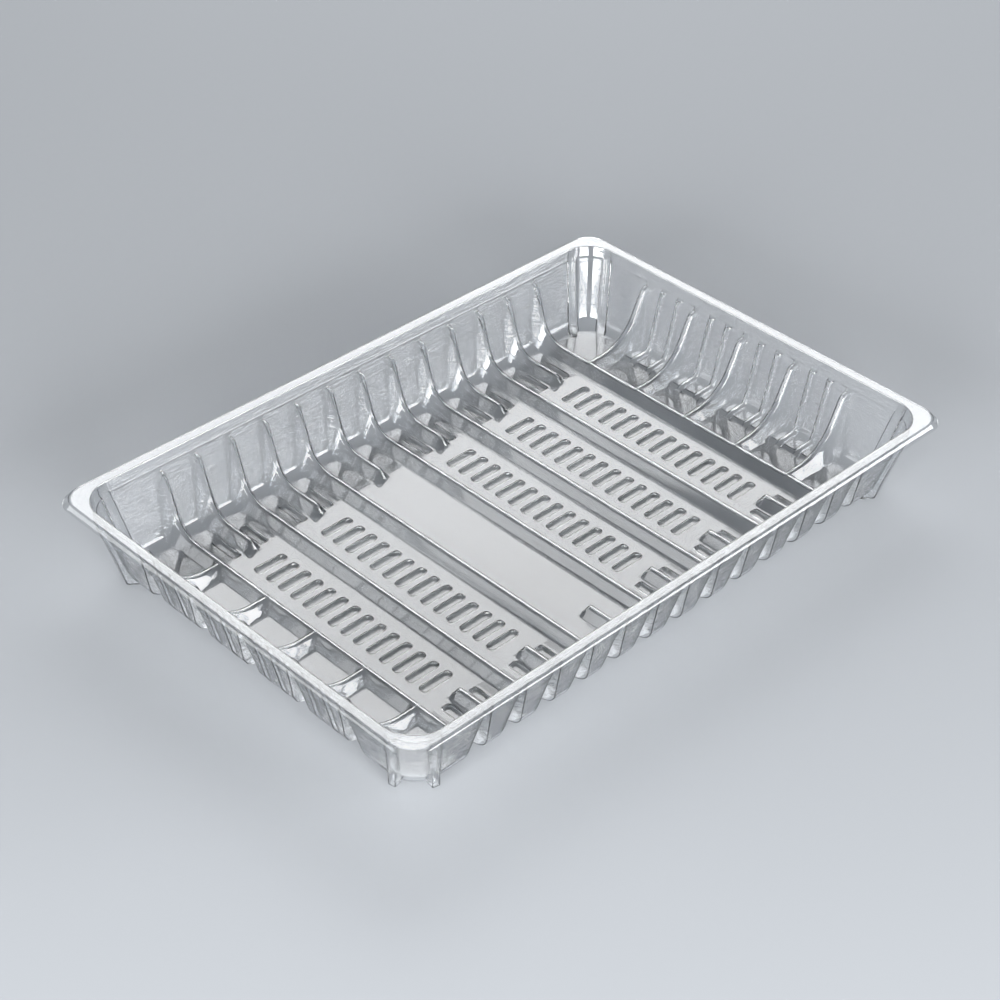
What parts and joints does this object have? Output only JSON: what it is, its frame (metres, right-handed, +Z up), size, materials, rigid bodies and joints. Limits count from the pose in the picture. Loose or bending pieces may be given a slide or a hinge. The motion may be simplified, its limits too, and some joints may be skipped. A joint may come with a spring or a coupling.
{
  "type": "thermoformed food tray",
  "caption": "Open clear thermoformed tray with a flat flange, pleated long walls, ribbed end walls, ridges across the floor and rows of round-ended grooves.",
  "frame": {"origin": "middle of the tray's outline, on the plane that it stands on", "axes": "+X along the long side, +Y along the short side, +Z up out of the tray"},
  "size_m": [0.285, 0.1948, 0.0356],
  "materials": {
    "clear_sheet": "clear, glossy, drawn from PET sheet"
  },
  "bodies": {
    "root": {"tray": "clear_sheet"}
  },
  "joints": []
}
